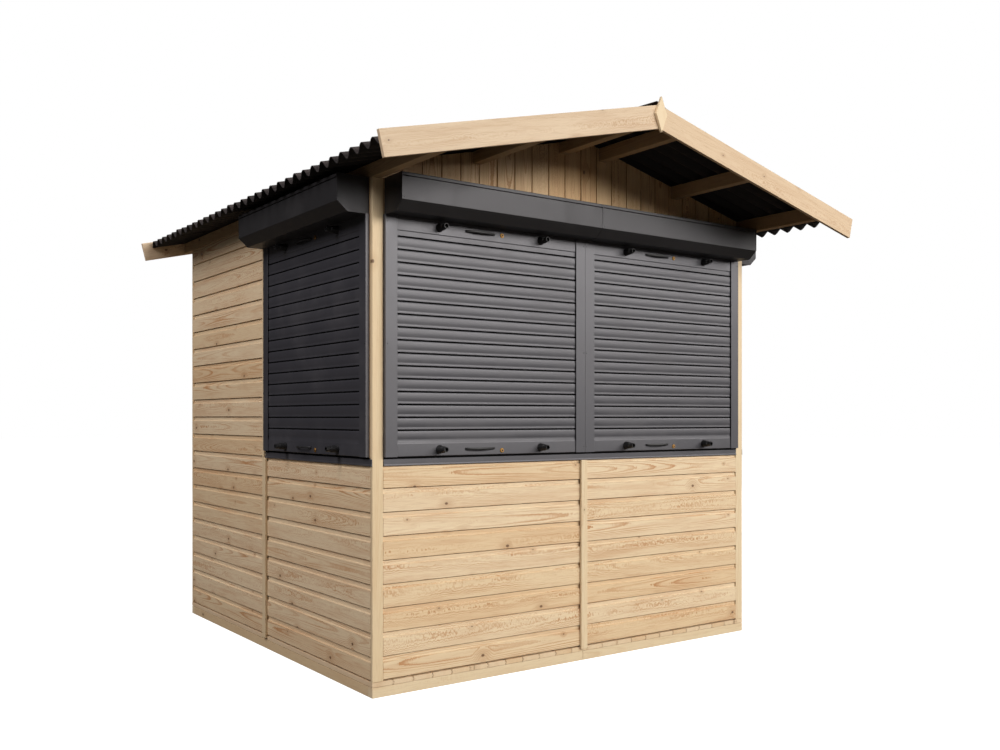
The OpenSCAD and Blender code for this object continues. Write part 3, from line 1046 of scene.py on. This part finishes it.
def make_locks():
    """Brass lock cylinders in a slim rose, each with a black disc and slot in its middle as
    painted shade for the keyway.
    """
    bm = bmesh.new()
    ways = bmesh.new()
    outline = [(0.0, 0.0052), (0.0078, 0.0052), (0.0084, 0.0046), (0.0086, 0.0030),
               (0.0104, 0.0028), (0.0110, 0.0020), (0.0112, 0.0)]
    for curtain in CURTAINS:
        for z in (FITTING_Z[0] - 0.012, FITTING_Z[1]):
            place = shutter_place(curtain) @ facing_out(LOCK_X, z)
            part = bmesh.new()
            turned(part, outline, place, 28)
            join(bm, part)
            # Painted shade: the keyway is a raised black disc and slot over the brass, not a
            # hole.
            way = bmesh.new()
            block(way, (-0.0012, -0.0040, 0.0040), (0.0012, 0.0040, 0.0054), 0.0004)
            turned(way, [(0.0, 0.0054), (0.0046, 0.0054), (0.0048, 0.0040)], Matrix(), 20)
            bmesh.ops.transform(way, matrix=place, verts=way.verts)
            join(ways, way)
    finish_piece("lock_cylinders", bm, BRASS, (), 30)
    finish_piece("lock_keyway_shade", ways, RUBBER, (), 40)


# ---- The hut ----

def make_hut():
    make_base()
    make_floor()
    make_walls()
    gable_boards("front_gable", -1, 301)
    gable_boards("rear_gable", 1, 302)
    make_trim()
    make_opening_frames()
    make_purlins()
    make_barge_boards()
    make_sheets()
    make_ridge_cap()
    make_roof_nails()
    for node in CURTAINS:
        make_curtain(node)
    make_guides("front_guides", CURTAINS[:2])
    make_guides("left_guides", CURTAINS[2:3])
    make_guides("right_guides", CURTAINS[3:])
    make_sills()
    for node in ("front_left_box", "front_right_box", "left_box", "right_box"):
        make_box(node)
    make_stops()
    make_handles()
    make_locks()


# ---- Studio ----

def area_light(name, place, target, size, power, colour):
    """A rectangular lamp that looks at a target."""
    light = bpy.data.lights.new(name, "AREA")
    light.shape = "RECTANGLE"
    light.size, light.size_y = size
    light.energy = power
    light.color = colour
    lamp = bpy.data.objects.new(name, light)
    lamp.location = place
    lamp.rotation_euler = (Vector(target) - Vector(place)).to_track_quat("-Z", "Y").to_euler()
    bpy.context.scene.collection.objects.link(lamp)


def stage_shell(name, radius):
    """The pale studio floor."""
    bm = bmesh.new()
    bmesh.ops.create_circle(bm, cap_ends=True, segments=96, radius=radius)
    mesh = bpy.data.meshes.new(name)
    bm.to_mesh(mesh)
    bm.free()
    material, shader, start = new_material("pale_floor")
    seen = start.node("ShaderNodeLightPath", output=0)
    feed(shader, "Base Color", start.blend(seen, rgb(0.11, 0.10, 0.088), rgb(0.4, 0.4, 0.4)))
    shader.inputs["Roughness"].default_value = 1.0
    shader.inputs["Specular IOR Level"].default_value = 0.0
    shine = start.blend(seen, rgb(0.0, 0.0, 0.0), rgb(1.0, 1.0, 1.0))
    glow = start.node("ShaderNodeEmission", None, {"Color": shine, "Strength": 1.0})
    both = start.node("ShaderNodeAddShader", None,
                      {0: Port(start.tree, shader.outputs[0]), 1: glow})
    start.tree.links.new(both.socket, start.tree.nodes["Material Output"].inputs[0])
    mesh.materials.append(material)
    ground = bpy.data.objects.new(name, mesh)
    ground.location.z = -0.0005
    bpy.context.scene.collection.objects.link(ground)


def make_studio():
    stage_shell("studio_floor", 60.0)
    world = bpy.data.worlds.new("studio_air")
    world.use_nodes = True
    tree = world.node_tree
    start = Port(tree)
    seen = start.node("ShaderNodeLightPath", output=0)
    background = tree.nodes["Background"]
    air = start.blend(seen, rgb(0.030, 0.029, 0.0285), rgb(1.0, 1.0, 1.0))
    tree.links.new(air.socket, background.inputs["Color"])
    background.inputs["Strength"].default_value = 1.0
    bpy.context.scene.world = world
    bpy.context.scene.view_settings.view_transform = "Standard"

    middle = (0.0, -0.6, 1.3)
    area_light("key", (3.7, -18.1, 7.0), middle, (10.0, 5.4), 2730, (1.0, 0.965, 0.925))
    area_light("right_key", (12.7, -13.3, 6.4), middle, (9.0, 5.4), 1220, (1.0, 0.965, 0.935))
    area_light("side_fill", (-9.4, -1.7, 9.4), middle, (4.0, 8.5), 1090, (1.0, 0.955, 0.965))
    area_light("rear_fill", (8.0, 9.0, 4.0), middle, (5.0, 4.0), 900, (0.98, 0.98, 1.0))


def make_camera():
    """Level camera at the eye height of a small person, in front of the left corner."""
    data = bpy.data.cameras.new("camera")
    data.sensor_width = 36.0
    data.lens = 35.87
    data.shift_y = 0.0428
    camera = bpy.data.objects.new("camera", data)
    camera.location = (-3.3885, -5.1911, 1.2647)
    camera.rotation_euler = (math.radians(90), 0, math.radians(-35.70))
    bpy.context.scene.collection.objects.link(camera)
    bpy.context.scene.camera = camera


make_hut()
make_studio()
make_camera()
